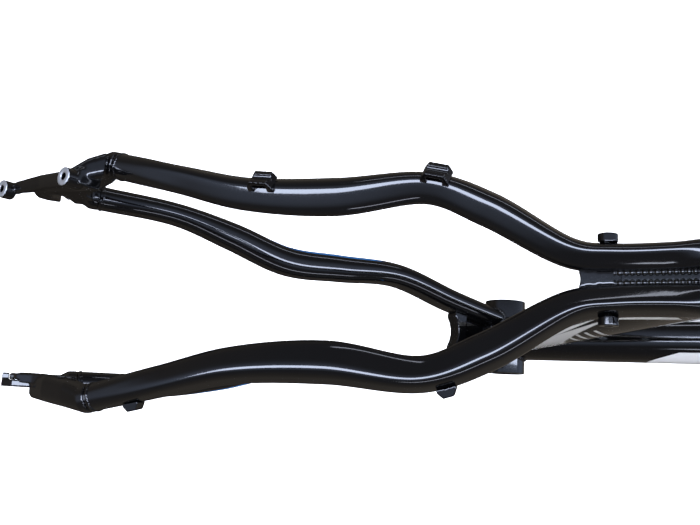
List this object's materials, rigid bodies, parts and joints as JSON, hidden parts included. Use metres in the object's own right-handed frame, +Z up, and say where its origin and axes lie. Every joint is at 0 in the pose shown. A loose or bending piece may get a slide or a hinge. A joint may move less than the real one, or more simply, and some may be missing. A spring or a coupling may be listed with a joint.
{
  "type": "bicycle frame",
  "caption": "Hardtail mountain-bike frame in gloss black aluminium, with wavy hydroformed stays, post-mount brake dropout and replaceable derailleur hanger.",
  "frame": {"origin": "centre of the bottom-bracket shell", "axes": "+X to the front wheel, +Y to the rider's left, +Z up"},
  "size_m": [0.9405, 0.1868, 0.6127],
  "materials": {
    "black_paint": "gloss clear-coated black paint on welded aluminium",
    "zinc_steel": "zinc-plated steel inserts and screws",
    "anodised_collar": "black anodised aluminium, satin"
  },
  "bodies": {
    "root": {"bb_shell": "black_paint", "seat_tube": "black_paint", "head_tube": "black_paint", "down_tube": "black_paint", "top_tube": "black_paint", "left_seat_stay": "black_paint", "right_seat_stay": "black_paint", "left_chain_stay": "black_paint", "right_chain_stay": "black_paint", "wishbone_bridge": "black_paint", "wishbone_filler": "black_paint", "chain_stay_bridge": "black_paint", "left_dropout": "black_paint", "right_dropout": "black_paint", "derailleur_hanger": "black_paint", "hanger_bolt": "zinc_steel", "left_rack_boss": "black_paint", "right_rack_boss": "black_paint", "lower_hose_guide": "black_paint", "upper_hose_guide": "black_paint", "lower_cable_guide": "black_paint", "upper_cable_guide": "black_paint", "top_tube_guide_rear": "black_paint", "top_tube_guide_middle": "black_paint", "top_tube_guide_front": "black_paint", "seat_tube_boss_lower": "zinc_steel", "seat_tube_boss_upper": "zinc_steel", "down_tube_boss_lower": "zinc_steel", "down_tube_boss_upper": "zinc_steel", "seat_collar": "anodised_collar", "collar_bolt": "zinc_steel", "collar_nut": "zinc_steel"}
  },
  "joints": []
}
